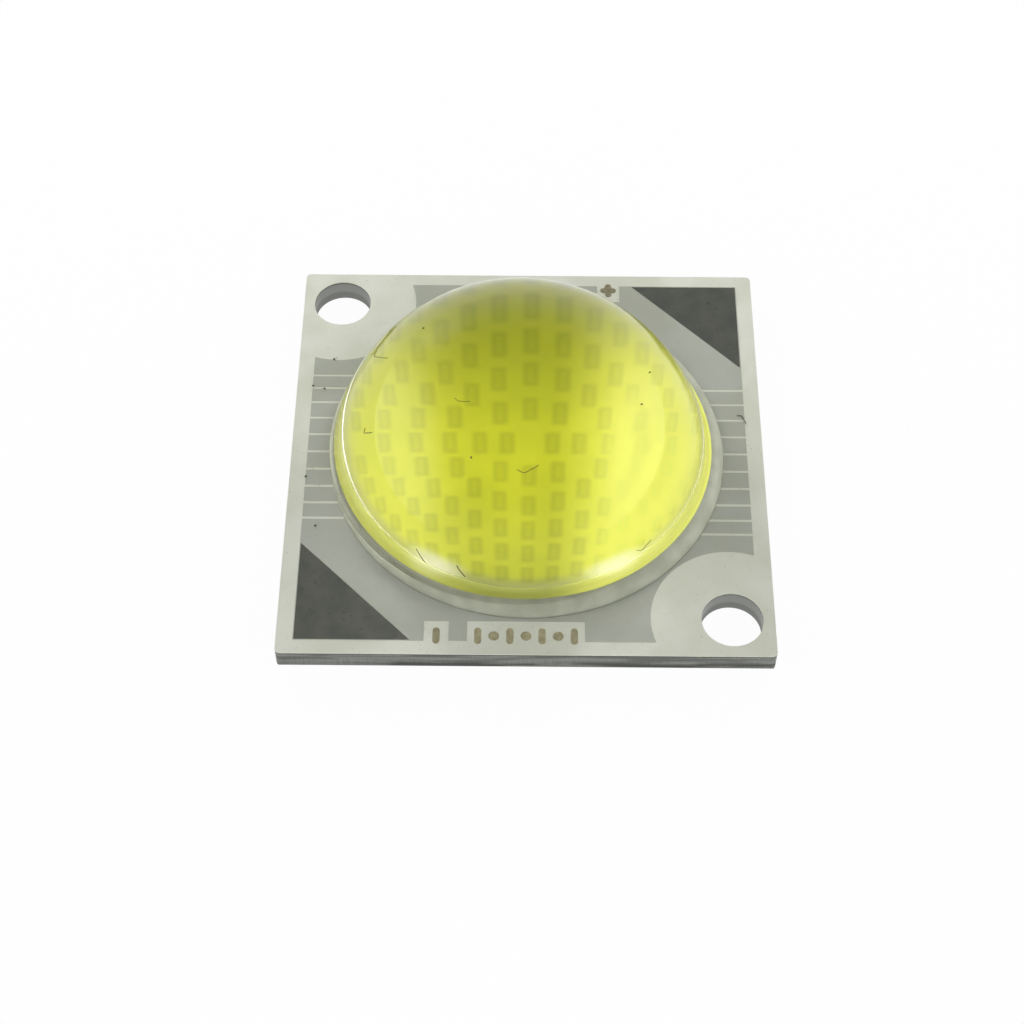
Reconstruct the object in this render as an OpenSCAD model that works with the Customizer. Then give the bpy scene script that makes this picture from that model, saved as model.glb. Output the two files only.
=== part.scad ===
// Chip-on-board light source: a punched aluminium base carries a copper circuit
// under a white mask, 120 flip chips soldered across ten gaps in the copper,
// a silicone dam, a phosphor fill and a clear silicone dome.
// Millimetres, +Z up, origin at the centre of the back face.

/* [Board] */
// Width of the board, along X
board_w = 28; // [27.6:0.1:34]
// Depth of the board, along Y
board_d = 28; // [27.6:0.1:34]
// Thickness of the aluminium base
base_t = 1.33; // [0.9:0.01:3]
// Radius of the board's upright corners
corner_r = 0.3; // [0.1:0.05:0.8]
// Radius that the punch rolls onto the lower edges
roll_r = 0.25; // [0.1:0.05:0.6]
// Distance from each screw hole's centre to the two nearest edges
hole_inset = 2.4; // [2.2:0.05:2.6]
// Diameter of the two screw holes, a clearance fit on an M3 screw
hole_d = 3.5; // [3.2:0.1:3.8]

/* [Layers] */
// Thickness of the dielectric that insulates the copper from the base
dielectric_t = 0.08; // [0.05:0.01:0.15]
// Thickness of the copper foil
copper_t = 0.05; // [0.03:0.005:0.1]
// Thickness of the white mask over the copper
mask_t = 0.04; // [0.02:0.005:0.08]
// How far the mask's top sinks where no copper lies under it
mask_dip = 0.02; // [0.005:0.005:0.03]
// Thickness of the metal on the solder pads and marks, under the mask's top
plating_t = 0.03; // [0.01:0.005:0.04]

/* [Circuit] */
// Bare margin from the board's side edges to the copper
margin_x = 0.95; // [0.6:0.05:1.2]
// Bare margin from the board's front and back edges to the copper
margin_y = 0.85; // [0.6:0.05:1.2]
// Length of side edge left to each end net, from the outermost gap to a screw hole's clearance
end_edge_l = 1.34; // [1.2:0.02:1.6]
// Width of the gaps between neighbouring copper strips
gap_w = 0.18; // [0.1:0.01:0.2]
// Length of the two straight sides of each triangular solder pad
pad_leg = 6.5; // [5:0.1:6.8]
// Strip of mask left between a solder pad and the edge of the copper
pad_inset = 0.05; // [0:0.01:0.2]

/* [Chips] */
// Size of a chip along X
chip_w = 0.51; // [0.4:0.01:0.6]
// Size of a chip along Y, across the gap in the copper
chip_l = 1.02; // [0.9:0.01:1.1]
// Thickness of a chip
chip_t = 0.15; // [0.1:0.01:0.25]
// Size along X of each solder joint under a chip
joint_w = 0.4; // [0.3:0.01:0.4]
// Size along Y of each solder joint under a chip
joint_l = 0.34; // [0.28:0.01:0.34]
// Distance along Y between a chip's two solder joints, centre to centre
joint_pitch = 0.6; // [0.58:0.01:0.62]
// Radius of the outermost ring of chips
outer_ring_r = 8.2; // [8:0.05:8.5]
// Distance from one ring of chips to the next, from the second ring outwards
ring_pitch = 1.55; // [1.45:0.05:1.6]

/* [Dam and fill] */
// Outer radius of the silicone dam, where it meets the mask
dam_r = 11.65; // [11.5:0.05:11.75]
// Width of the dam's bead where it meets the mask
dam_w = 2.4; // [2.1:0.05:2.4]
// Height of the dam's bead above the mask
dam_h = 0.9; // [0.75:0.05:1.1]
// Depth of the phosphor fill over the mask, enough to cover the chips
fill_t = 0.32; // [0.28:0.01:0.5]
// Thickness of the phosphor film that climbs the dam's inner slope
film_t = 0.08; // [0.04:0.01:0.12]

/* [Dome] */
// Height of the clear dome above the crest of the dam
dome_h = 8.87; // [6:0.01:10]
// Distance from the dam's outer radius in to the foot of the dome
dome_setback = 0.58; // [0.5:0.01:0.8]
// Distance from the dam's outer radius in to the edge of the dome's lip
lip_setback = 0.42; // [0.3:0.01:0.45]
// Thickness of the dome's lip
lip_t = 0.36; // [0.3:0.02:0.5]
// How far the lip's top stands over the crest of the dam
lip_rise = 0.08; // [0.04:0.01:0.15]
// How far the dome was set off the dam's centre, along X
dome_x = -0.45; // [-0.45:0.05:0.45]
// How far the dome was set off the dam's centre, along Y
dome_y = 0.05; // [-0.1:0.05:0.1]

/* [Marks] */
// Width of the stroke in the plus and minus marks
stroke_w = 0.4; // [0.3:0.02:0.5]
// Length of the minus mark and of the plus mark's upright arm
mark_l = 1.06; // [0.9:0.02:1.1]
// Length of the plus mark's level arm
plus_w = 0.98; // [0.9:0.02:1.1]
// Distance along X from the corner of each solder pad to the polarity mark beside it
mark_gap = 1.47; // [1.3:0.01:1.6]
// Distance from the board's edge to the middle of each mark
mark_inset = 1.2; // [1.1:0.02:1.3]
// Number of marks in the row between the polarity marks
row_count = 7; // [5:2:9]
// Distance between neighbouring marks in the row
row_pitch = 0.9; // [0.85:0.01:0.95]
// Size of the copper-free field round each polarity mark
field_w = 1.4; // [1.2:0.05:1.8]
// Depth of the copper-free fields, from the edge of the copper
field_d = 1.3; // [1.2:0.05:1.5]

/* [Hidden] */
$fn = 96;
eps = 0.01;

rings = 5;              // rings of chips; ring n has 8 n places
steps = 2*rings;        // chips in series
links = steps - 1;      // copper strips between the positive and negative nets

// Levels, from the back face up
dielectric_z = base_t;
copper_z = dielectric_z + dielectric_t;
mask_z = copper_z + copper_t;
board_z = mask_z + mask_t;
crest_z = board_z + dam_h;
fill_z = board_z + fill_t;

// Board
hole_x = board_w/2 - hole_inset;
hole_y = board_d/2 - hole_inset;
copper_x = board_w/2 - margin_x;
copper_y = board_d/2 - margin_y;
mark_y = board_d/2 - mark_inset;
polarity_x = copper_x - pad_inset - pad_leg - mark_gap;
dot_d = 1.5*stroke_w;
row_margin = 0.4;               // bare field left past each end of the row
row_w = (row_count - 1)*row_pitch + stroke_w + 2*row_margin;

// The bead's section is part of a circle whose chord is dam_w and whose rise is dam_h
bead_r = (dam_w*dam_w/4 + dam_h*dam_h)/(2*dam_h);
bead_mid_r = dam_r - dam_w/2;

// The dome is part of a sphere
dome_foot_r = dam_r - dome_setback;
dome_sphere_r = (dome_foot_r*dome_foot_r + dome_h*dome_h)/(2*dome_h);
lip_r = dam_r - lip_setback;

// The innermost chips don't lie on a circle: a pair in the middle, and eight round it
middle_x = 1;
inner_side_x = 2.2;
inner_corner = [1.3, 1.58];
inner_end_y = 1.8;
slot_extra = 0.02;              // the gap runs straight this far past each chip's sides
slot = chip_w/2 + slot_extra;

// ---- Places of the chips ----

function ring_r(n) = outer_ring_r - (rings - n)*ring_pitch;

function inner_place(a) =
    a == 90 ? [0, inner_end_y]
    : a % 180 == 0 ? [cos(a)*inner_side_x, 0]
    : [sign(cos(a))*inner_corner.x, sign(sin(a))*inner_corner.y];

function place(n, a) = n == 1 ? inner_place(a) : ring_r(n)*[cos(a), sin(a)];

// Each of the upper five steps comes in from the left across the outer rings, runs
// over the top along its own ring, and goes out to the right: always 12 chips.
function left_leg(m) = [for (n = [rings:-1:m + 1]) place(n, 180 - m*45/n)];
function right_leg(m) = [for (n = [m + 1:1:rings]) place(n, (m - 1)*45/n)];
function arc_run(m) = [for (i = [0:2*m + 1]) place(m, 135 - i*45/m)];

// The fifth step gives up its last place, beside the edge, for one in the middle
function middle_run() = [
    place(1, 135), place(1, 90), place(1, 45), [middle_x, 0], place(1, 0),
    for (n = [2:rings - 1]) place(n, 0)
];

function upper_chips(m) = m > 1
    ? concat(left_leg(m), arc_run(m), right_leg(m))
    : concat(left_leg(1), middle_run());

function turned(points) = [for (i = [len(points) - 1:-1:0]) -points[i]];

// The lower five steps are the upper five turned by half a turn
function chips(step) = step <= rings
    ? upper_chips(steps/2 + 1 - step)
    : turned(upper_chips(step - steps/2));

// ---- Gaps between the copper strips ----

// Each upper gap leaves the copper's left edge at this height, and each lower gap its
// right edge at the same height below the middle
function side_y(m) = ring_r(rings)*sin(m*45/rings);

// The clearance round a screw hole crosses the copper's side edge end_edge_l past the
// outermost gap
hole_clear_r = norm([copper_x - hole_x, hole_y - side_y(rings) - gap_w/2 - end_edge_l]);

// Between the last corner chip and the middle chip the gap doubles back, clear of
// both chips' joints
function detour(a, b) = a == place(1, 45) && b == [middle_x, 0]
    ? let (out = slot + 2*gap_w/3, level = (a.y + b.y)/2)
        [a + [out, -gap_w], [a.x + out, level + gap_w], [b.x - slot, level - gap_w], b - [slot + gap_w, 0]]
    : [];

function through(points) = [
    for (i = [0:len(points) - 1]) each concat(
        i > 0 ? detour(points[i - 1], points[i]) : [],
        [points[i] - [slot, 0], points[i] + [slot, 0]]
    )
];

function upper_gap(m) = concat(
    [[-copper_x, side_y(m)]],
    through(upper_chips(m)),
    [[copper_x, side_y(m - 1)]]
);

function gap_line(step) = step <= rings
    ? upper_gap(steps/2 + 1 - step)
    : turned(upper_gap(step - steps/2));

// The same line, moved d to its left with mitred corners
function unit(v) = v/norm(v);
function to_left(v) = [-v.y, v.x];
function moved(line, d) = [
    for (i = [0:len(line) - 1])
        let (
            last = len(line) - 1,
            before = unit(i > 0 ? line[i] - line[i - 1] : line[1] - line[0]),
            after = unit(i < last ? line[i + 1] - line[i] : line[i] - line[i - 1])
        )
        line[i] + d*to_left(before + after)/(1 + before*after)
];

function upper_side(i) = i == 0
    ? [[-copper_x, copper_y], [copper_x, copper_y]]
    : moved(gap_line(i), -gap_w/2);
function lower_side(i) = i == links + 1
    ? [[-copper_x, -copper_y], [copper_x, -copper_y]]
    : moved(gap_line(i + 1), gap_w/2);
function net_outline(i) = let (low = lower_side(i))
    concat(upper_side(i), [for (k = [len(low) - 1:-1:0]) low[k]]);

// ---- Outlines ----

module rounded_rect(w, d, r) {
    square([w - 2*r, d], center = true);
    square([w, d - 2*r], center = true);
    for (x = [-1, 1], y = [-1, 1])
        translate([x*(w/2 - r), y*(d/2 - r)]) circle(r);
}

module at_holes() {
    for (side = [-1, 1])
        translate(side*[hole_x, -hole_y]) children();
}

module board_outline() {
    difference() {
        rounded_rect(board_w, board_d, corner_r);
        at_holes() circle(d = hole_d);
    }
}

module bare_fields() {
    for (side = [-1, 1])
        translate([side*polarity_x, side*copper_y])
            square([field_w, 2*field_d], center = true);
    translate([0, -copper_y]) square([row_w, 2*field_d], center = true);
}

// Only the two end nets reach the screw holes and the marks
module net_shape(i) {
    if (i % (links + 1) == 0)
        difference() {
            polygon(net_outline(i));
            at_holes() circle(hole_clear_r);
            bare_fields();
        }
    else polygon(net_outline(i));
}

module pad_shape(side) {
    x = copper_x - pad_inset;
    y = copper_y - pad_inset;
    polygon(side*[[x, y], [x - pad_leg, y], [x, y - pad_leg]]);
}

module upright_pill(w, l) {
    square([w, l - w], center = true);
    for (y = [-1, 1]) translate([0, y*(l - w)/2]) circle(d = w);
}

module minus_shape() {
    translate([-polarity_x, -mark_y]) upright_pill(stroke_w, mark_l);
}

module plus_shape() {
    translate([polarity_x, mark_y]) {
        upright_pill(stroke_w, mark_l);
        rotate(90) upright_pill(stroke_w, plus_w);
    }
}

// Plain bars and dots in turn
module row_shape() {
    for (i = [0:row_count - 1])
        translate([(i - (row_count - 1)/2)*row_pitch, -mark_y])
            if (i % 2 == 0) upright_pill(stroke_w, mark_l);
            else circle(d = dot_d);
}

// ---- Solids ----

// A slab whose lower edges along Y are rolled; its section is pushed along Y
module rolled_slab(w, d) {
    rotate([90, 0, 0])
        linear_extrude(d, center = true) {
            translate([-w/2, roll_r]) square([w, base_t - roll_r]);
            translate([-w/2 + roll_r, 0]) square([w - 2*roll_r, roll_r]);
            for (side = [-1, 1])
                translate([side*(w/2 - roll_r), roll_r]) circle(roll_r);
        }
}

module base_plate() {
    color("#8b8d8c")
        intersection() {
            linear_extrude(base_t) board_outline();
            rolled_slab(board_w, 2*board_d);
            rotate(90) rolled_slab(board_d, 2*board_w);
        }
}

module dielectric_layer() {
    color("#3c3d3a")
        translate([0, 0, dielectric_z])
            linear_extrude(dielectric_t) board_outline();
}

module net(i) {
    color("#b87345")
        translate([0, 0, copper_z])
            linear_extrude(copper_t) net_shape(i);
}

module mark(t) {
    color("#9a9478")
        translate([0, 0, copper_z])
            linear_extrude(t) children();
}

module pad(side) {
    color("#5c6058")
        translate([0, 0, mask_z])
            linear_extrude(plating_t) pad_shape(side);
}

module at_joints(step) {
    for (p = chips(step), side = [-1, 1])
        translate([p.x, p.y + side*joint_pitch/2, mask_z + mask_t/2]) children();
}

module chip_joints(step) {
    color("#c9cbc8")
        at_joints(step) cube([joint_w, joint_l, mask_t], center = true);
}

module led_chips(step) {
    color("#aeb9b4")
        for (p = chips(step))
            translate([p.x, p.y, board_z + chip_t/2])
                cube([chip_w, chip_l, chip_t], center = true);
}

module solder_mask() {
    color("#c8cabf")
        difference() {
            translate([0, 0, copper_z])
                linear_extrude(copper_t + mask_t) board_outline();
            // the copper and the marks
            translate([0, 0, copper_z - eps])
                linear_extrude(copper_t + eps)
                    for (i = [0:links + 1]) net_shape(i);
            translate([0, 0, copper_z - eps])
                linear_extrude(copper_t + mask_t + 2*eps) {
                    plus_shape();
                    minus_shape();
                    row_shape();
                }
            // the openings for the solder pads and joints
            for (side = [-1, 1])
                translate([0, 0, mask_z - eps])
                    linear_extrude(mask_t + 2*eps) pad_shape(side);
            for (step = [1:steps])
                at_joints(step) cube([joint_w, joint_l, mask_t + 2*eps], center = true);
            // where the top sinks
            translate([0, 0, board_z - mask_dip])
                linear_extrude(mask_dip + eps)
                    difference() {
                        square([board_w + 1, board_d + 1], center = true);
                        circle(dam_r);
                        for (i = [0:links + 1]) net_shape(i);
                    }
        }
}

// The bead's section, or the same grown by t, above the mask
module bead_section(t = 0) {
    intersection() {
        translate([bead_mid_r, dam_h - bead_r]) circle(bead_r + t);
        translate([bead_mid_r - dam_w, 0]) square([2*dam_w, 2*dam_h]);
    }
}

module bead() {
    translate([0, 0, board_z])
        rotate_extrude() bead_section();
}

// The pool up to the dam, and the film up to the dam's crest
module pool() {
    translate([0, 0, board_z])
        rotate_extrude() {
            square([bead_mid_r, fill_t]);
            intersection() {
                bead_section(film_t);
                square([bead_mid_r, 2*dam_h]);
            }
        }
}

module dam_ring() {
    color("#d3d5cf") bead();
}

module phosphor_fill() {
    color("#d8e23a")
        difference() {
            pool();
            bead();
            for (step = [1:steps]) led_chips(step);
        }
}

module dome_lens() {
    color("#e9f06a", 0.5)
        difference() {
            union() {
                translate([dome_x, dome_y, crest_z])
                    rotate_extrude() {
                        intersection() {
                            translate([0, dome_h - dome_sphere_r]) circle(dome_sphere_r);
                            square([dome_sphere_r + 1, dome_h + 1]);
                        }
                        translate([0, lip_rise - lip_t])
                            square([lip_r - lip_t/2, lip_t]);
                        translate([lip_r - lip_t/2, lip_rise - lip_t/2])
                            circle(lip_t/2);
                    }
                translate([0, 0, fill_z])
                    cylinder(r = bead_mid_r, h = crest_z - fill_z);
            }
            bead();
            pool();
        }
}

base_plate();
dielectric_layer();
net(0);  // positive_net
net(links + 1);  // negative_net
for (i = [1:links])
    net(i);
solder_mask();
pad(1);  // positive_pad
pad(-1);  // negative_pad
mark(copper_t + plating_t) plus_shape();  // plus_mark
mark(copper_t + plating_t) minus_shape();  // minus_mark
mark(copper_t + plating_t) row_shape();  // row_marks
for (i = [1:steps])
    chip_joints(i);
for (i = [1:steps])
    led_chips(i);
dam_ring();
phosphor_fill();
dome_lens();
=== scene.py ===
# %% [markdown]
# # A chip-on-board light source, dressed in Blender
# The object is a punched aluminium board, 28 mm square, with a copper circuit under a
# white mask. In its middle 120 blue chips lie in yellow phosphor, inside a ring of
# silicone, and a clear silicone dome sits on top. The solids come from the CAD model.
# This notebook gives each of them its substance, and it makes again, more smoothly, the
# three soft pieces that light passes through: glass-like shapes show every facet.

# %% Load the solids
import math
import random
import bpy
from mathutils import Matrix, Vector
from mathutils.geometry import delaunay_2d_cdt


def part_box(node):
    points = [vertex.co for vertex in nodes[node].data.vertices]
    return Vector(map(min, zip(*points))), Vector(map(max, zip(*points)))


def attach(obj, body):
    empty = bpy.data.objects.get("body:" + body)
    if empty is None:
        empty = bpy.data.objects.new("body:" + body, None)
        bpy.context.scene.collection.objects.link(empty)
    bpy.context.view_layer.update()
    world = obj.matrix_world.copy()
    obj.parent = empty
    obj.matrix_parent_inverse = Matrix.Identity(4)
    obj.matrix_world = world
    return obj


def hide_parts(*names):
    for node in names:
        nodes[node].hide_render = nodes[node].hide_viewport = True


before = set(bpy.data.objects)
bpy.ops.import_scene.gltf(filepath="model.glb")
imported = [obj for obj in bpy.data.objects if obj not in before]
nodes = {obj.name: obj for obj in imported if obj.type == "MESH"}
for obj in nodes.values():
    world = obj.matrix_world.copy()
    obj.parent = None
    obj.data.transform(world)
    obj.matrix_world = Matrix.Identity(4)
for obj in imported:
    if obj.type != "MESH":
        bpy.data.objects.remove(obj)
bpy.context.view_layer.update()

MM = 0.001

# %% [markdown]
# Colours are written as the hex values that a screen shows. Blender's shaders work in
# linear light, so one function turns them. Typing linear numbers by hand would work too,
# but hex values can be compared by eye with a paint chip or a screen.

# %% Colour helper
def linear(hex_colour):
    """The linear RGBA of an sRGB hex colour."""
    parts = [int(hex_colour[i:i + 2], 16) / 255 for i in (1, 3, 5)]
    return tuple(p / 12.92 if p <= 0.04045 else ((p + 0.055) / 1.055) ** 2.4 for p in parts) + (1.0,)


print("mid grey is", [round(v, 3) for v in linear("#808080")])

# %% [markdown]
# Every finish here is a small tree of nodes. One helper adds a node, sets its own
# properties, and fills each of its inputs with a number, a colour or a link from another
# node. Sockets are named, or numbered where a node has several of the same name.

# %% Node helper
def add(tree, kind, settings=None, inputs=None):
    """A new node with its settings and inputs; an input may be a value or another node's output."""
    node = tree.nodes.new(kind)
    for name, value in (settings or {}).items():
        setattr(node, name, value)
    for name, value in (inputs or {}).items():
        if isinstance(value, bpy.types.NodeSocket):
            tree.links.new(value, node.inputs[name])
        else:
            node.inputs[name].default_value = value
    return node


MIX_A, MIX_B, MIX_OUT = 6, 7, 2          # a colour Mix node's sockets


def blend_colours(tree, factor, a, b, mode="MIX"):
    """A colour Mix node's output."""
    mix = add(tree, "ShaderNodeMix", {"data_type": "RGBA", "blend_type": mode},
              {0: factor, MIX_A: a, MIX_B: b})
    return mix.outputs[MIX_OUT]


def new_material(name):
    """An empty material with its output, and its tree."""
    material = bpy.data.materials.new(name)
    material.use_nodes = True
    tree = material.node_tree
    tree.nodes.clear()
    return material, tree


def finish_material(tree, shader):
    """Links a shader to the surface."""
    output = add(tree, "ShaderNodeOutputMaterial")
    tree.links.new(shader.outputs[0], output.inputs["Surface"])


print("helpers ready")

# %% [markdown]
# Patterns need a place to start from. Each CAD solid keeps its place in its own mesh, so
# Object coordinates are metres from the middle of the board's back face. A pattern's
# scale is then one over the size of its features in metres.

# %% Pattern helpers
def place_of(tree):
    """The surface point in metres."""
    return add(tree, "ShaderNodeTexCoord").outputs["Object"]


def per_mm(size):
    """The scale of a pattern whose features are so many millimetres across."""
    return 1 / (size * MM)


def noise(tree, size, detail=2.0, vector=None, rough=0.5):
    """Soft noise with features of a size in millimetres."""
    return add(tree, "ShaderNodeTexNoise", None,
               {"Vector": vector or place_of(tree), "Scale": per_mm(size),
                "Detail": detail, "Roughness": rough}).outputs["Fac"]


def ramp(tree, value, low, high, to_low=0.0, to_high=1.0, smooth=True):
    """A value carried from one range to another, and held at its ends."""
    return add(tree, "ShaderNodeMapRange",
               {"interpolation_type": "SMOOTHSTEP" if smooth else "LINEAR"},
               {"Value": value, "From Min": low, "From Max": high,
                "To Min": to_low, "To Max": to_high}).outputs["Result"]


def bumped(tree, height, depth):
    """A bump whose full height is a depth in millimetres."""
    return add(tree, "ShaderNodeBump", None,
               {"Height": height, "Distance": depth * MM, "Strength": 1.0}).outputs["Normal"]


print("a 0.1 mm grain has scale", per_mm(0.1))

# %% [markdown]
# ## White solder mask
# The mask is an epoxy ink, screened on wet, cured by light and baked, so it is satin with a
# faint orange peel. It is only 40 micrometres thick. Over copper the metal greys it, and
# in the gaps, where it sinks to the insulation, it is thicker and paler. Painting that by
# hand would be slow. The solid's own height tells the two apart, so the colour reads it.

# %% Mask levels
mask_levels = sorted({round(v.co.z, 6) for v in nodes["solder_mask"].data.vertices})
board_top, sunk_top = mask_levels[-1], mask_levels[-2]
print("the mask's top is at", board_top / MM, "mm, and sinks to", sunk_top / MM)

# %% White mask material
def white_solder_mask():
    material, tree = new_material("white_solder_mask")
    place = place_of(tree)
    height = add(tree, "ShaderNodeSeparateXYZ", None, {"Vector": place}).outputs["Z"]
    over_copper = ramp(tree, height, sunk_top, board_top)
    # ink over bare insulation is a warm white; over copper it is a cooler grey
    base = blend_colours(tree, over_copper, linear("#E4E6D9"), linear("#B7BAAF"))
    # slow unevenness of the screened ink, some 4 mm across
    cloud = ramp(tree, noise(tree, 4, 3), 0.35, 0.65)
    base = blend_colours(tree, cloud, base, linear("#F2F3EE"), "MULTIPLY")
    # pinholes and fine dirt, drawn at 0.12 mm so that they show
    dirt = ramp(tree, noise(tree, 0.12, 2, rough=0.6), 0.68, 0.78)
    base = blend_colours(tree, dirt, base, linear("#8F9088"))
    peel = noise(tree, 0.09, 3)
    shader = add(tree, "ShaderNodeBsdfPrincipled", None,
                 {"Base Color": base, "Roughness": 0.46, "IOR": 1.52,
                  "Normal": bumped(tree, peel, 0.002)})
    finish_material(tree, shader)
    return material


mask_ink = white_solder_mask()
print("made", mask_ink.name)

# %% [markdown]
# ## Punched aluminium
# The base is rolled aluminium sheet, punched out. The punch burnishes the upper part of
# the edge and tears the lower part, so the edge carries upright scratches above and a
# rougher, darker band below, and its lowest rim is rolled over. The back and the holes
# are plainer. A metal needs a pale colour and enough roughness to blur
# what it mirrors. The lines are noise that is stretched along one axis.

# %% Aluminium material
def punched_aluminium():
    material, tree = new_material("punched_aluminium")
    place = place_of(tree)
    parts = add(tree, "ShaderNodeSeparateXYZ", None, {"Vector": place})
    height = parts.outputs["Z"]
    # streaks that run round the edge, thin in height and long in plan
    level = add(tree, "ShaderNodeMapping", None, {"Vector": place, "Scale": (0.12, 0.12, 1.6)})
    streak = noise(tree, 0.5, 3, vector=level.outputs["Vector"])
    # upright scratches from the punch, 0.08 mm apart
    upright = add(tree, "ShaderNodeMapping", None, {"Vector": place, "Scale": (1, 1, 0.08)})
    scratch = noise(tree, 0.08, 2, vector=upright.outputs["Vector"])
    torn = ramp(tree, height, 0.45 * MM, 0.75 * MM, 1.0, 0.0)
    # only the outer edge is torn; the holes are drilled, and smooth
    spread = add(tree, "ShaderNodeVectorMath", {"operation": "ABSOLUTE"}, {0: place}).outputs[0]
    spread = add(tree, "ShaderNodeSeparateXYZ", None, {"Vector": spread})
    spread = add(tree, "ShaderNodeMath", {"operation": "MAXIMUM"},
                 {0: spread.outputs["X"], 1: spread.outputs["Y"]}).outputs[0]
    outer = ramp(tree, spread, 13.4 * MM, 13.7 * MM)
    base = blend_colours(tree, torn, linear("#6A6C68"), linear("#5A5D58"))
    base = blend_colours(tree, ramp(tree, streak, 0.42, 0.6), base, linear("#8A8C86"))
    base = blend_colours(tree, ramp(tree, scratch, 0.3, 0.7, 0.0, 0.3), base, linear("#50534F"))
    base = blend_colours(tree, outer, linear("#8A8C88"), base)
    rough = ramp(tree, torn, 0, 1, 0.42, 0.62)
    relief = blend_colours(tree, 0.5, streak, scratch)
    shader = add(tree, "ShaderNodeBsdfPrincipled", None,
                 {"Base Color": base, "Metallic": 1.0, "Roughness": rough,
                  "Normal": bumped(tree, relief, 0.01)})
    finish_material(tree, shader)
    return material


sheet_metal = punched_aluminium()
print("made", sheet_metal.name)

# %% [markdown]
# ## Insulation and copper
# The insulation is epoxy filled with ceramic, pressed between the base and the foil. It
# shows only as a dark line round the edge. The copper lies wholly under the mask. Both
# are still given their real finish, because the pieces may be shown apart.

# %% Insulation and copper materials
def filled_epoxy():
    material, tree = new_material("filled_epoxy")
    grain = ramp(tree, noise(tree, 0.06, 3), 0.35, 0.65)
    base = blend_colours(tree, grain, linear("#33342F"), linear("#4A4B44"))
    shader = add(tree, "ShaderNodeBsdfPrincipled", None,
                 {"Base Color": base, "Roughness": 0.6, "IOR": 1.55,
                  "Normal": bumped(tree, grain, 0.004)})
    finish_material(tree, shader)
    return material


def copper_foil():
    material, tree = new_material("copper_foil")
    tarnish = ramp(tree, noise(tree, 0.8, 4), 0.35, 0.7)
    base = blend_colours(tree, tarnish, linear("#C98A63"), linear("#A8694A"))
    shader = add(tree, "ShaderNodeBsdfPrincipled", None,
                 {"Base Color": base, "Metallic": 1.0, "Roughness": 0.34,
                  "Normal": bumped(tree, noise(tree, 0.03, 2), 0.001)})
    finish_material(tree, shader)
    return material


insulation = filled_epoxy()
foil = copper_foil()
print("made", insulation.name, "and", foil.name)

# %% [markdown]
# ## Plated metal
# The solder pads and the small marks are copper with a metal plated on. The pads are
# tinned, dull and dark grey, with a slow mottle from the bath. The marks are gold over
# nickel, thin and matt, so that they look like pale bronze.

# %% Plating materials
def dull_tin():
    material, tree = new_material("dull_tin")
    mottle = ramp(tree, noise(tree, 1.4, 4), 0.3, 0.7)
    base = blend_colours(tree, mottle, linear("#8B8E87"), linear("#97998F"))
    pits = ramp(tree, noise(tree, 0.22, 3, rough=0.6), 0.62, 0.74)
    base = blend_colours(tree, pits, base, linear("#73766F"))
    shader = add(tree, "ShaderNodeBsdfPrincipled", None,
                 {"Base Color": base, "Metallic": 1.0, "Roughness": 0.5,
                  "Normal": bumped(tree, noise(tree, 0.05, 3), 0.003)})
    finish_material(tree, shader)
    return material


def thin_gold():
    material, tree = new_material("thin_gold")
    mottle = ramp(tree, noise(tree, 0.3, 3), 0.35, 0.7)
    base = blend_colours(tree, mottle, linear("#D8D1AE"), linear("#C6BF9C"))
    shader = add(tree, "ShaderNodeBsdfPrincipled", None,
                 {"Base Color": base, "Metallic": 1.0, "Roughness": 0.48,
                  "Normal": bumped(tree, noise(tree, 0.05, 3), 0.004)})
    finish_material(tree, shader)
    return material


pad_tin = dull_tin()
mark_gold = thin_gold()
print("made", pad_tin.name, "and", mark_gold.name)

# %% [markdown]
# ## Chips and their solder
# A flip chip is a sliver of sapphire with the light-making layer on its underside, and
# two solder joints hold it to the copper on both sides of a gap. All of them lie inside
# the phosphor. The sapphire is clear and pale, the solder a bright, slightly grainy metal.

# %% Chip materials
def sapphire():
    material, tree = new_material("sapphire")
    bands = ramp(tree, noise(tree, 0.3, 2), 0.3, 0.7)
    base = blend_colours(tree, bands, linear("#BFCBC6"), linear("#AEBBB8"))
    shader = add(tree, "ShaderNodeBsdfPrincipled", None,
                 {"Base Color": base, "Roughness": 0.18, "IOR": 1.77,
                  "Transmission Weight": 0.3})
    finish_material(tree, shader)
    return material


def solder_metal():
    material, tree = new_material("solder_metal")
    grain = noise(tree, 0.05, 3)
    base = blend_colours(tree, grain, linear("#C9CBC8"), linear("#B2B5B4"))
    shader = add(tree, "ShaderNodeBsdfPrincipled", None,
                 {"Base Color": base, "Metallic": 1.0, "Roughness": 0.3,
                  "Normal": bumped(tree, grain, 0.004)})
    finish_material(tree, shader)
    return material


chip_sapphire = sapphire()
chip_solder = solder_metal()
print("made", chip_sapphire.name, "and", chip_solder.name)

# %% [markdown]
# ## Silicones
# Three silicones make the soft parts. The dam is squeezed out of a needle as a paste: it
# is milky, so light goes a little way in, which subsurface scattering gives. The fill
# carries phosphor powder, which soaks up blue and gives back a strong yellow, so it is
# nearly opaque. A dome gathers light unevenly, and tracing that needs very many samples,
# so its share is painted into the fill. The dome is the same silicone without filler:
# clear, and smooth as glass because it was cast in a polished mould.

# %% Silicone materials
pool = nodes["phosphor_fill"].data
fill_z = min(f.center.z for f in pool.polygons if f.normal.z > 0.999) / MM


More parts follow.
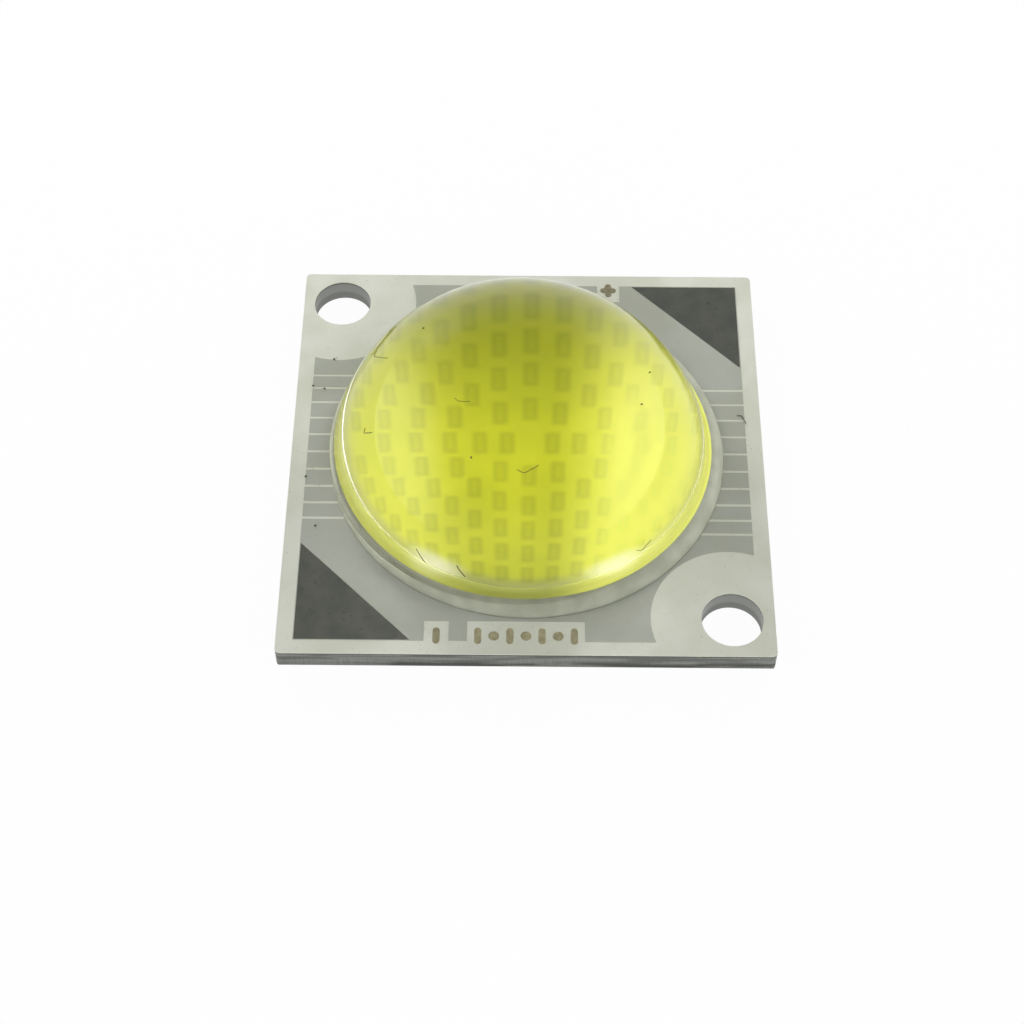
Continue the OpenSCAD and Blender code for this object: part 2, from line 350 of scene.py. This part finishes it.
def milky_silicone():
    material, tree = new_material("milky_silicone")
    cloud = ramp(tree, noise(tree, 1.2, 3), 0.3, 0.7)
    base = blend_colours(tree, cloud, linear("#B8BBA9"), linear("#A8AB98"))
    shader = add(tree, "ShaderNodeBsdfPrincipled", {"subsurface_method": "RANDOM_WALK"},
                 {"Base Color": base, "Roughness": 0.32, "IOR": 1.41,
                  "Subsurface Weight": 0.6, "Subsurface Radius": (1.0, 0.95, 0.8),
                  "Subsurface Scale": 0.5 * MM,
                  "Normal": bumped(tree, noise(tree, 0.8, 2), 0.01)})
    finish_material(tree, shader)
    return material


def phosphor_silicone():
    material, tree = new_material("phosphor_silicone")
    # the powder lies a little unevenly, in patches some 3 mm across
    patch = ramp(tree, noise(tree, 3, 3), 0.3, 0.7)
    base = blend_colours(tree, patch, linear("#E2E62E"), linear("#D6DC2A"))
    # painted shade: the yellow deepens to olive towards the back, where the dome gathers less light
    parts = add(tree, "ShaderNodeSeparateXYZ", None, {"Vector": place_of(tree)})
    back_shade_painted = ramp(tree, parts.outputs["Y"], -1 * MM, 8.5 * MM, 0, 0.85)
    base = blend_colours(tree, back_shade_painted, base, linear("#989C22"))
    # the light that the dome gathers is painted in, as a faint glow on both sides
    right = ramp(tree, parts.outputs["X"], 0.8 * MM, 4.6 * MM, 0, 0.38)
    left = ramp(tree, parts.outputs["X"], -2 * MM, -6.5 * MM, 0, 0.22)
    sides = add(tree, "ShaderNodeMath", {"operation": "ADD"}, {0: right, 1: left}).outputs[0]
    front = ramp(tree, parts.outputs["Y"], 8.5 * MM, 3.5 * MM, 0.1, 1)
    glow = add(tree, "ShaderNodeMath", {"operation": "MULTIPLY"}, {0: sides, 1: front}).outputs[0]
    # near the dam the pool is greyer, and the film on the dam's slope is yellow again
    radius = add(tree, "ShaderNodeVectorMath", {"operation": "LENGTH"},
                 {0: add(tree, "ShaderNodeVectorMath", {"operation": "MULTIPLY"},
                         {0: place_of(tree), 1: (1, 1, 0)}).outputs[0]}).outputs["Value"]
    base = blend_colours(tree, ramp(tree, radius, 8.2 * MM, 9.2 * MM, 0, 0.7), base, linear("#A9AC72"))
    base = blend_colours(tree, ramp(tree, radius, 9.3 * MM, 9.45 * MM, 0, 0.8), base, linear("#BCC250"))
    # a chip under the thin cover greys the yellow
    cover = add(tree, "ShaderNodeAttribute", {"attribute_name": "chip_shade"}).outputs["Fac"]
    shade = ramp(tree, cover, 0, 1, 0, 0.46, smooth=False)
    base = blend_colours(tree, shade, base, linear("#C9CCB8"), "MULTIPLY")
    # painted highlights: two whitish gleams of the light the dome gathers, on the pool's front rim, put into
    # both the colour and the glow
    for x in (-4.9, 4.6):
        away = add(tree, "ShaderNodeVectorMath", {"operation": "DISTANCE"},
                   {0: place_of(tree), 1: (x * MM, -7.7 * MM, fill_z * MM)}).outputs["Value"]
        near = ramp(tree, away, 2.2 * MM, 0.3 * MM, 0, 0.8)
        rim = ramp(tree, radius, 7.9 * MM, 8.8 * MM)
        painted_gleam = add(tree, "ShaderNodeMath", {"operation": "MULTIPLY"}, {0: near, 1: rim}).outputs[0]
        base = blend_colours(tree, painted_gleam, base, linear("#F6F7E2"))
        glow = add(tree, "ShaderNodeMath", {"operation": "MULTIPLY_ADD"},
                   {0: painted_gleam, 1: 0.1, 2: glow}).outputs[0]
    shader = add(tree, "ShaderNodeBsdfPrincipled", None,
                 {"Base Color": base, "Roughness": 0.5, "IOR": 1.41, "Specular IOR Level": 0.2,
                  "Emission Color": linear("#FFFF82"), "Emission Strength": glow,
                  "Normal": bumped(tree, noise(tree, 0.1, 2), 0.002)})
    finish_material(tree, shader)
    return material


def clear_silicone():
    material, tree = new_material("clear_silicone")
    # the cured surface is flat to a few micrometres over some 3 mm
    wave = noise(tree, 3, 1)
    shader = add(tree, "ShaderNodeBsdfPrincipled", None,
                 {"Base Color": linear("#FFFFFC"), "Roughness": 0.03, "IOR": 1.41,
                  "Transmission Weight": 1.0, "Normal": bumped(tree, wave, 0.004)})
    finish_material(tree, shader)
    return material


dam_milky = milky_silicone()
fill_yellow = phosphor_silicone()
dome_clear = clear_silicone()
print("made", dam_milky.name, fill_yellow.name, dome_clear.name)

# %% [markdown]
# ## The finishes go on
# Each CAD solid brings one material slot. The new finish takes that slot's place, and
# the mesh itself is left alone.

# %% Assign the finishes
def dress(prefixes, material):
    """Gives a finish to every solid whose name starts with one of the prefixes."""
    named = [n for n in nodes if n.startswith(prefixes)]
    for name in named:
        slots = nodes[name].data.materials
        slots.clear()
        slots.append(material)
    print(material.name, "on", len(named), "solids")


dress(("base_plate",), sheet_metal)
dress(("dielectric_layer",), insulation)
dress(("positive_net", "negative_net", "series_link"), foil)
dress(("solder_mask",), mask_ink)
dress(("positive_pad", "negative_pad"), pad_tin)
dress(("plus_mark", "minus_mark", "row_marks"), mark_gold)
dress(("chip_joints",), chip_solder)
dress(("led_chips",), chip_sapphire)
dress(("dam_ring",), dam_milky)
dress(("phosphor_fill",), fill_yellow)
dress(("dome_lens",), dome_clear)

# %% [markdown]
# ## Smooth round pieces
# The dam and the dome are turned shapes. A lathe is the plain way to make one: a profile
# is carried round an axis, and neighbouring rings are joined by four-sided faces. A
# Screw modifier does the same, but here the axis moves sideways as the profile goes
# down, because the dome was set down a little off the dam's middle.

# %% Lathe helper
def lathe(name, profile, turns=288):
    """A closed turned solid; the profile lists radius, height and the axis' x and y, in mm."""
    verts, faces = [], []
    rings = [p for p in profile if p[0] > 0]
    for r, z, x, y in rings:
        for k in range(turns):
            a = math.tau * k / turns
            verts.append(((x + r * math.cos(a)) * MM, (y + r * math.sin(a)) * MM, z * MM))
    for i in range(len(rings) - 1):
        for k in range(turns):
            m = (k + 1) % turns
            faces.append((i * turns + k, (i + 1) * turns + k, (i + 1) * turns + m, i * turns + m))
    last = (len(rings) - 1) * turns
    for tip, base, flip in ((profile[0], 0, False), (profile[-1], last, True)):
        if tip[0] == 0:
            verts.append((tip[2] * MM, tip[3] * MM, tip[1] * MM))
            for k in range(turns):
                pair = (base + k, base + (k + 1) % turns)
                faces.append((len(verts) - 1,) + (pair[::-1] if flip else pair))
    if profile[0][0] > 0:
        for k in range(turns):
            m = (k + 1) % turns
            faces.append((last + k, k, m, last + m))
    mesh = bpy.data.meshes.new(name)
    mesh.from_pydata(verts, [], faces)
    mesh.shade_smooth()
    piece = bpy.data.objects.new(name, mesh)
    bpy.context.scene.collection.objects.link(piece)
    return piece


def arc(cx, cz, r, start, end, count):
    """Points on part of a circle, as radius and height, from one angle to another in degrees."""
    steps = [math.radians(start + (end - start) * i / count) for i in range(count + 1)]
    return [(cx + r * math.cos(t), cz + r * math.sin(t)) for t in steps]


print("lathe ready")

# %% [markdown]
# ## Dam
# The dam is a bead of paste: its section is a low arch that meets the mask at a clear
# angle. The solid's own sizes give the arch.

# %% Make the dam
low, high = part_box("dam_ring")
dam_r = high.x / MM
dam_inner = min(math.hypot(v.co.x, v.co.y) for v in nodes["dam_ring"].data.vertices) / MM
mask_z, crest_z = low.z / MM, high.z / MM
dam_w, dam_h = dam_r - dam_inner, crest_z - mask_z
bead_r = (dam_w ** 2 / 4 + dam_h ** 2) / (2 * dam_h)
bead_mid = dam_r - dam_w / 2
bead_cz = crest_z - bead_r
reach = math.degrees(math.asin((mask_z - bead_cz) / bead_r))
bead_arc = arc(bead_mid, bead_cz, bead_r, reach, 180 - reach, 28)


def on_bead(r, over):
    """The height of a point some mm over the bead's surface."""
    return bead_cz + math.sqrt((bead_r + over) ** 2 - (r - bead_mid) ** 2)


dam = lathe("dam_bead", [(r, z, 0, 0) for r, z in bead_arc])
dam.data.materials.append(dam_milky)
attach(dam, "root")
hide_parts("dam_ring")
print("dam: outer radius", round(dam_r, 3), "width", round(dam_w, 3), "height", round(dam_h, 3))

# %% [markdown]
# ## Chip places
# The chips are inside the fill, and a viewer sees each only as a greyer patch with a
# darker outline. The chips' own solids say where those patches are: every chip shows one
# level face on top, and the mesh splits it into two triangles that share corners.

# %% Find the chips
def level_faces(node):
    """The middle and half-size, in mm, of each separate top face of a node."""
    mesh = nodes[node].data
    found = []
    for face in (p for p in mesh.polygons if p.normal.z > 0.99):
        corners = set(face.vertices)
        joined = [f for f in found if f & corners]
        for f in joined:
            found.remove(f)
            corners |= f
        found.append(corners)
    boxes = []
    for corners in found:
        xs = [mesh.vertices[i].co.x / MM for i in corners]
        ys = [mesh.vertices[i].co.y / MM for i in corners]
        boxes.append(((min(xs) + max(xs)) / 2, (min(ys) + max(ys)) / 2,
                      (max(xs) - min(xs)) / 2, (max(ys) - min(ys)) / 2))
    return boxes


chips = [b for n in sorted(nodes) if n.startswith("led_chips") for b in level_faces(n)]
print(len(chips), "chips found")

# %% [markdown]
# ## Phosphor fill
# The fill is a shallow pool, and a film of it climbs the dam's inner slope. Its level top
# is cut into triangles by a Delaunay triangulation with nested outlines round each chip,
# so that a painted value can fall off softly across them. A fine grid would need many
# times the faces for the same edge. The slope is turned, as on a lathe.

# %% Make the fill
RIM = 288                # points round the pool
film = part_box("phosphor_fill")[1].z / MM - crest_z
flat_r = bead_mid - math.sqrt((bead_r + film) ** 2 - (fill_z - bead_cz) ** 2) - 0.12


def outline(cx, cy, hx, hy, grow):
    """A rectangle with cut corners, grown by some mm."""
    w, h, c = hx + grow, hy + grow, min(0.12, 0.06 + max(grow, 0))
    return [(cx + w, cy - h + c), (cx + w, cy + h - c), (cx + w - c, cy + h), (cx - w + c, cy + h),
            (cx - w, cy + h - c), (cx - w, cy - h + c), (cx - w + c, cy - h), (cx + w - c, cy - h)]


def loop(ring, shade):
    """Adds a closed outline to the triangulation."""
    start = len(points)
    points.extend(Vector(p) for p in ring)
    edges.extend((start + k, start + (k + 1) % len(ring)) for k in range(len(ring)))
    shades.extend([shade] * len(ring))


points, edges, shades = [], [], []
circle = [(math.cos(math.tau * k / RIM), math.sin(math.tau * k / RIM)) for k in range(RIM)]
loop([(flat_r * x, flat_r * y) for x, y in circle], 0.0)
for chip in chips:
    for grow, shade in ((0.2, 0.0), (0.1, 0.35), (0.01, 0.85), (-0.08, 1.0), (-0.2, 0.75)):
        loop(outline(*chip, grow), shade)
flat, _, cells, origins, _, _ = delaunay_2d_cdt(points, edges, [], 1, 1e-6)
verts = [(p.x * MM, p.y * MM, fill_z * MM) for p in flat]
values = [shades[o[0]] if o else 0.0 for o in origins]
faces = [tuple(c) for c in cells]
by_origin = {o[0]: i for i, o in enumerate(origins) if o}
ring = [by_origin[k] for k in range(RIM)]

slope = [(flat_r + 0.09, fill_z + 0.02)]
for share in (0.16, 0.25, 0.4, 0.55, 0.7, 0.85, 1.0):
    r = flat_r + share * (bead_mid - flat_r)
    slope.append((r, max(on_bead(r, film), fill_z + 0.06)))
# past the crest the film thins out, and dips into the bead
slope += [(bead_mid + 0.25, on_bead(bead_mid + 0.25, film / 2)),
          (bead_mid + 0.5, on_bead(bead_mid + 0.5, -0.01)),
          (bead_mid, mask_z + 0.1), (dam_inner, mask_z)]
for r, z in slope:
    start = len(verts)
    verts += [(r * x * MM, r * y * MM, z * MM) for x, y in circle]
    values += [0.0] * RIM
    faces += [(ring[k], start + k, start + (k + 1) % RIM, ring[(k + 1) % RIM]) for k in range(RIM)]
    ring = list(range(start, start + RIM))
faces.append(tuple(reversed(ring)))
mesh = bpy.data.meshes.new("phosphor_pool")
mesh.from_pydata(verts, [], faces)
mesh.shade_smooth()
mesh.attributes.new("chip_shade", "FLOAT", "POINT").data.foreach_set("value", values)
fill = bpy.data.objects.new(mesh.name, mesh)
bpy.context.scene.collection.objects.link(fill)
mesh.materials.append(fill_yellow)
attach(fill, "root")
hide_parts("phosphor_fill")
print("fill:", len(mesh.polygons), "faces, top at", round(fill_z, 2), "mm, level to", round(flat_r, 2), "mm")

# %% [markdown]
# ## Dome
# The dome is part of a sphere with a thin rounded lip that rests on the dam. Its underside
# dips a hair into the phosphor and the dam, so that no false film of air is drawn there.

# %% Make the dome
shell = [v.co / MM for v in nodes["dome_lens"].data.vertices]
tip = max(shell, key=lambda v: v.z)
side = min(shell, key=lambda v: abs(2 * v.z - tip.z - crest_z))
lip_r = max((v - tip).xy.length for v in shell)
drop = tip.z - side.z
sphere_r = ((side - tip).xy.length ** 2 + drop ** 2) / (2 * drop)
sphere_z = tip.z - sphere_r
lip_t, lip_top = 0.36, crest_z + film
foot_angle = math.degrees(math.asin((lip_top - sphere_z) / sphere_r))
cap = arc(0, sphere_z, sphere_r, 90, foot_angle, 90)
lip = arc(lip_r - lip_t / 2, lip_top - lip_t / 2, lip_t / 2, 80, -90, 12)
sink = 0.02
profile = [(0 if i == 0 else r, z, tip.x, tip.y) for i, (r, z) in enumerate(cap)]
profile += [(r, z, tip.x, tip.y) for r, z in lip]
profile += [(bead_mid + 0.25, on_bead(bead_mid + 0.25, film / 2) - sink, 0, 0)]
for share in (1.0, 0.85, 0.7, 0.55, 0.4, 0.25):
    r = flat_r + share * (bead_mid - flat_r)
    profile.append((r, max(on_bead(r, film), fill_z + 0.06) - sink, 0, 0))
profile += [(flat_r, fill_z - sink, 0, 0), (0, fill_z - sink, 0, 0)]
dome = lathe("dome_cap", profile)
dome.data.materials.append(dome_clear)
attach(dome, "root")
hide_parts("dome_lens")
print("dome: tip at", [round(c, 2) for c in tip], "radius", round(sphere_r, 2), "lip", round(lip_r, 2))

# %% [markdown]
# ## Dust
# Silicone is tacky and holds what falls on it. The fibres and specks are fine dark
# threads that lie on the dome and the mask, a few hundredths of a millimetre thick. A
# curve with a bevel makes one in a few lines, and it is turned into a mesh.

# %% Lay the dust
lint, tree = new_material("lint")
finish_material(tree, add(tree, "ShaderNodeBsdfPrincipled", None,
                          {"Base Color": linear("#4B4D2C"), "Roughness": 0.8}))


def thread(name, start, end, sag, thick=0.022, on_dome=True):
    """A fibre between two places: azimuth and tilt on the dome, or x and y in mm on the mask."""
    spots = []
    for k in range(13):
        t = k / 12
        a, b = (p + (q - p) * t for p, q in zip(start, end))
        if on_dome:
            a, b = math.radians(a), math.radians(b)
            way = Vector((math.sin(b) * math.cos(a), math.sin(b) * math.sin(a), math.cos(b)))
            across = Vector((-math.sin(a), math.cos(a), 0)).cross(way)
            spot = Vector((tip.x, tip.y, sphere_z)) + way * (sphere_r + thick * 0.6)
        else:
            across = Vector((0.6, 0.8, 0))
            spot = Vector((a, b, board_top / MM + thick * 0.6))
        spots.append(spot + across * sag * math.sin(math.pi * t) * (1 + 0.3 * math.sin(7 * t)))
    curve = bpy.data.curves.new(name, "CURVE")
    curve.dimensions = "3D"
    curve.bevel_depth = thick * MM
    curve.bevel_resolution = 1
    line = curve.splines.new("POLY")
    line.points.add(len(spots) - 1)
    for point, spot in zip(line.points, spots):
        point.co = (*(spot * MM), 1)
    maker = bpy.data.objects.new(name, curve)
    piece = bpy.data.objects.new(name, bpy.data.meshes.new_from_object(maker))
    bpy.data.objects.remove(maker)
    bpy.context.scene.collection.objects.link(piece)
    piece.data.materials.clear()
    piece.data.materials.append(lint)
    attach(piece, "root")


thread("fibre_middle", (-91, 37), (-81, 36), 0.22)
thread("fibre_left", (-141, 24), (-130, 22), 0.12, 0.015)
thread("fibre_back", (159, 52), (168, 43), 0.5, 0.015)
thread("fibre_front_left", (-123, 68), (-119, 71), 0.03)
thread("fibre_front", (-109, 68), (-106, 71), 0.05, 0.03)
thread("fibre_front_right", (-52, 71), (-46, 71), 0.2, 0.015)
thread("fibre_rim", (-66, 79), (-63, 83), 0.3, 0.015)
thread("fibre_hook", (-165, 53), (-161, 51), 0.3)
thread("fibre_board", (12.6, 2.9), (13.1, 2.3), 0.2, 0.02, on_dome=False)
scatter = random.Random(11)
for k in range(4):
    azimuth, tilt = scatter.uniform(-180, 180), scatter.uniform(5, 65)
    thread(f"speck_dome_{k + 1}", (azimuth, tilt), (azimuth + 0.6, tilt + 0.5), 0, 0.04)
for k in range(5):
    x, y = scatter.uniform(-13.2, -11.9), scatter.uniform(-6, 7.5)
    thread(f"speck_mask_{k + 1}", (x, y), (x + 0.1, y + 0.06), 0, 0.045, on_dome=False)

# %% [markdown]
# ## Stage
# The floor is plain white paper under the board. The camera sees it nearly white, and
# so do reflections, while a little of its own shading is kept for the contact shadow.
# It lies a hair under the board, because two faces in one plane would flicker, and it is
# clear from below, so that the back of the board can be looked at.

# %% Floor
def paper_floor():
    material, tree = new_material("paper_floor")
    path = add(tree, "ShaderNodeLightPath")
    seen = add(tree, "ShaderNodeMath", {"operation": "MAXIMUM"},
               {0: path.outputs["Is Camera Ray"], 1: path.outputs["Is Glossy Ray"]})
    seen = add(tree, "ShaderNodeMath", {"operation": "MAXIMUM"},
               {0: seen.outputs[0], 1: path.outputs["Is Transmission Ray"]})
    share = add(tree, "ShaderNodeMath", {"operation": "MULTIPLY"}, {0: seen.outputs[0], 1: 0.97})
    paper = add(tree, "ShaderNodeBsdfDiffuse", None, {"Color": linear("#F4F4F2")})
    white = add(tree, "ShaderNodeEmission", None, {"Color": (1, 1, 1, 1), "Strength": 1.0})
    mixed = add(tree, "ShaderNodeMixShader", None,
                {0: share.outputs[0], 1: paper.outputs[0], 2: white.outputs[0]})
    below = add(tree, "ShaderNodeNewGeometry").outputs["Backfacing"]
    clear = add(tree, "ShaderNodeBsdfTransparent")
    finish_material(tree, add(tree, "ShaderNodeMixShader", None,
                              {0: below, 1: mixed.outputs[0], 2: clear.outputs[0]}))
    return material


half, gap = 3.0, 0.02 * MM
mesh = bpy.data.meshes.new("floor")
corners = [(x * half, y * half, -gap) for x, y in ((-1, -1), (1, -1), (1, 1), (-1, 1))]
mesh.from_pydata(corners, [], [(0, 1, 2, 3)])
floor = bpy.data.objects.new("floor", mesh)
bpy.context.scene.collection.objects.link(floor)
floor.data.materials.append(paper_floor())
print("floor is", 2 * half, "m across")

# %% [markdown]
# ## Light
# The room is pale at the horizon and dimmer overhead, with tall soft-edged windows left
# and right, which the dome mirrors. Two low lamps at the back send light through the dome
# to the front, and a broad one in front lifts the mask. A sharp lamp in a mirror-smooth
# dome would show as a hard white square, so the lamps are left out of its reflections.

# %% Room and lamps
def room():
    world = bpy.data.worlds.new("room")
    bpy.context.scene.world = world
    world.use_nodes = True
    tree = world.node_tree
    tree.nodes.clear()
    way = add(tree, "ShaderNodeTexCoord").outputs["Generated"]
    up = add(tree, "ShaderNodeSeparateXYZ", None, {"Vector": way}).outputs["Z"]
    overhead = ramp(tree, up, 0.05, 0.7)
    colour = blend_colours(tree, overhead, linear("#FFFFFF"), linear("#8A8A8A"))
    # tall windows left and right, with soft edges
    across = add(tree, "ShaderNodeVectorMath", {"operation": "ABSOLUTE"}, {0: way}).outputs[0]
    across = add(tree, "ShaderNodeSeparateXYZ", None, {"Vector": across}).outputs["X"]
    colour = blend_colours(tree, ramp(tree, across, 0.66, 0.92), colour, (2.4, 2.4, 2.4, 1))
    background = add(tree, "ShaderNodeBackground", None, {"Color": colour, "Strength": 0.9})
    output = add(tree, "ShaderNodeOutputWorld")
    tree.links.new(background.outputs[0], output.inputs["Surface"])


def soft_box(name, place, size, level):
    """A square lamp that faces the board; level is how bright its face is, where 1 is white."""
    light = bpy.data.lights.new(name, "AREA")
    light.shape = "SQUARE"
    light.size = size * MM
    light.energy = level * math.pi * (size * MM) ** 2
    lamp = bpy.data.objects.new(name, light)
    lamp.location = Vector(place) * MM
    lamp.rotation_euler = (-lamp.location).to_track_quat("-Z", "Y").to_euler()
    lamp.visible_camera = False
    lamp.visible_glossy = False
    bpy.context.scene.collection.objects.link(lamp)


room()
soft_box("back_left", (-110, 180, 68), 60, 22)
soft_box("back_right", (118, 172, 68), 60, 16)
soft_box("front", (0, -190, 110), 150, 1.6)

# %% [markdown]
# ## Camera
# The camera looks down at the board from the front, a little over 50 degrees up, from
# some 12 cm away.

# %% Camera
camera = bpy.data.objects.new("camera", bpy.data.cameras.new("camera"))
bpy.context.scene.collection.objects.link(camera)
right = Vector((0.99996, 0.00909, 0.00056)).normalized()
look = Vector((-0.00479, 0.57728, -0.81654))
look = (look - right * look.dot(right)).normalized()
up = right.cross(look)
camera.matrix_world = Matrix.Translation(Vector((-0.278, -74.286, 100.455)) * MM) @ Matrix(
    (right, up, -look)).transposed().to_4x4()
camera.data.sensor_width = 36
camera.data.lens = 73.206
camera.data.clip_start = 1 * MM
bpy.context.scene.camera = camera
bpy.context.scene.view_settings.view_transform = "Standard"
bpy.context.scene.cycles.sample_clamp_indirect = 0   # the dome gathers light, so none is cut off
print("camera is", round(camera.location.length / MM, 1), "mm from the origin")
